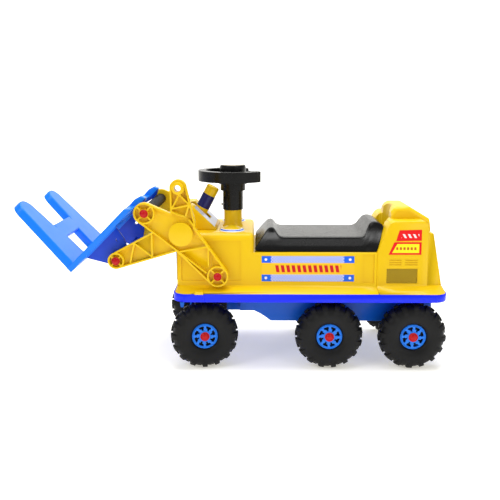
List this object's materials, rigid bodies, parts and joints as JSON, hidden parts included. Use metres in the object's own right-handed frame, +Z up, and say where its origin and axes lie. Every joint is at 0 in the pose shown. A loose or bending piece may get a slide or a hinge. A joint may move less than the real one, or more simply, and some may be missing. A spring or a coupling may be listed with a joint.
{
  "type": "ride-on toy forklift",
  "caption": "Ride-on toy truck with lifting arms, a tilting two-tine fork, steered front axle, seat lid over a bin, toy lever and rear seat back.",
  "frame": {"origin": "on the ground under the middle of the whole truck", "axes": "-X is the truck's front (the fork), +X its rear, -Y its left side (the arm with the tower), +Z up"},
  "size_m": [0.7946, 0.264, 0.3714],
  "materials": {
    "amber_print": "printed vinyl",
    "black": "moulded, gloss",
    "fork_blue": "moulded, gloss",
    "grille_blue": "moulded, satin",
    "hub_blue": "moulded, gloss",
    "liner": "vacuum formed, matt",
    "linkage": "moulded, matt",
    "mesh": "moulded, matt",
    "pale_print": "printed vinyl",
    "red": "moulded, gloss",
    "red_print": "printed vinyl",
    "rim_blue": "moulded, gloss",
    "side_print": "printed vinyl",
    "steel": "drawn rod",
    "tub_blue": "moulded, satin",
    "tyre_black": "blow-moulded, matt",
    "yellow": "moulded, satin to gloss"
  },
  "bodies": {
    "truck": {"chassis_rim": "rim_blue", "chassis_tub": "tub_blue", "chassis_blocks": "tub_blue", "body_shell": "yellow", "bin_liner": "liner", "rear_housing": "yellow", "mesh_grilles": "mesh", "front_grille": "grille_blue", "dash_console": "yellow", "lever_pin": "steel", "column_bush": "black", "middle_axle": "steel", "middle_axle_caps": "red", "rear_axle": "steel", "rear_axle_caps": "red", "body_screws": "steel", "hinge_ears": "black", "seat_hinge_pin": "steel", "side_labels": "side_print", "rear_labels_upper": "red_print", "rear_labels_lower": "amber_print", "dash_label": "pale_print"},
    "steering_column": {"steering_shaft": "steel", "pitman_arm": "linkage", "pitman_pin": "steel", "steering_wheel": "black", "sleeve_screw": "steel", "wheel_pod": "black", "pod_label": "pale_print"},
    "drag_link": {"drag_link": "linkage"},
    "front_axle_yoke": {"front_yoke": "linkage", "kingpin": "steel", "kingpin_clip": "steel", "yoke_pin": "steel", "front_axle": "steel", "front_axle_caps": "red"},
    "front_left_wheel": {"tyre_front_left": "tyre_black", "hub_front_left": "hub_blue"},
    "front_right_wheel": {"tyre_front_right": "tyre_black", "hub_front_right": "hub_blue"},
    "middle_left_wheel": {"tyre_middle_left": "tyre_black", "hub_middle_left": "hub_blue"},
    "middle_right_wheel": {"tyre_middle_right": "tyre_black", "hub_middle_right": "hub_blue"},
    "rear_left_wheel": {"tyre_rear_left": "tyre_black", "hub_rear_left": "hub_blue"},
    "rear_right_wheel": {"tyre_rear_right": "tyre_black", "hub_rear_right": "hub_blue"},
    "loader": {"loader_arm_left": "yellow", "loader_arm_right": "yellow", "lift_shaft": "steel", "roller_rod": "steel", "fork_rod": "steel", "arm_caps": "red", "cross_roller": "black"},
    "fork": {"fork": "fork_blue"},
    "gear_lever": {"gear_lever": "yellow", "lever_label": "side_print"},
    "seat_lid": {"seat_lid": "black"}
  },
  "joints": [
    {"name": "steering", "type": "hinge", "parent": "truck", "child": "steering_column", "pos_m": [-0.00173, 0, 0.361], "axis": [0, 0, 1], "range_deg": [-23.7, 10.3]},
    {"name": "axle_steer", "type": "hinge", "parent": "truck", "child": "front_axle_yoke", "pos_m": [-0.06473, 0, 0.118], "axis": [0, 0, 1], "range_deg": [-23.7, 10.3]},
    {"name": "link_pivot", "type": "hinge", "parent": "steering_column", "child": "drag_link", "pos_m": [-0.00476, 0.02582, 0.1126], "axis": [0, 0, 1], "range_deg": [-10.3, 23.7]},
    {"name": "arm_lift", "type": "hinge", "parent": "truck", "child": "loader", "pos_m": [-0.02633, 0, 0.176], "axis": [0, 1, 0], "range_deg": [-32, 0]},
    {"name": "fork_tilt", "type": "hinge", "parent": "loader", "child": "fork", "pos_m": [-0.21123, 0, 0.205], "axis": [0, -1, 0], "range_deg": [0, 50]},
    {"name": "lid_hinge", "type": "hinge", "parent": "truck", "child": "seat_lid", "pos_m": [0.04727, 0, 0.222], "axis": [0, -1, 0], "range_deg": [0, 40]},
    {"name": "lever_swing", "type": "hinge", "parent": "truck", "child": "gear_lever", "pos_m": [-0.07273, 0, 0.266], "axis": [0, -1, 0], "range_deg": [0, 15]},
    {"name": "front_left_spin", "type": "hinge", "parent": "front_axle_yoke", "child": "front_left_wheel", "pos_m": [-0.06473, 0, 0.063], "axis": [-0.1167, 0.9932, 0], "continuous": true},
    {"name": "front_right_spin", "type": "hinge", "parent": "front_axle_yoke", "child": "front_right_wheel", "pos_m": [-0.06473, 0, 0.063], "axis": [-0.1167, 0.9932, 0], "continuous": true},
    {"name": "middle_left_spin", "type": "hinge", "parent": "truck", "child": "middle_left_wheel", "pos_m": [0.17977, 0, 0.063], "axis": [0, 1, 0], "continuous": true},
    {"name": "middle_right_spin", "type": "hinge", "parent": "truck", "child": "middle_right_wheel", "pos_m": [0.17977, 0, 0.063], "axis": [0, 1, 0], "continuous": true},
    {"name": "rear_left_spin", "type": "hinge", "parent": "truck", "child": "rear_left_wheel", "pos_m": [0.33427, 0, 0.063], "axis": [0, 1, 0], "continuous": true},
    {"name": "rear_right_spin", "type": "hinge", "parent": "truck", "child": "rear_right_wheel", "pos_m": [0.33427, 0, 0.063], "axis": [0, 1, 0], "continuous": true}
  ],
  "couplings": [
    {"joint": "axle_steer", "follows": "steering", "ratio": 1},
    {"joint": "link_pivot", "follows": "steering", "ratio": -1}
  ]
}
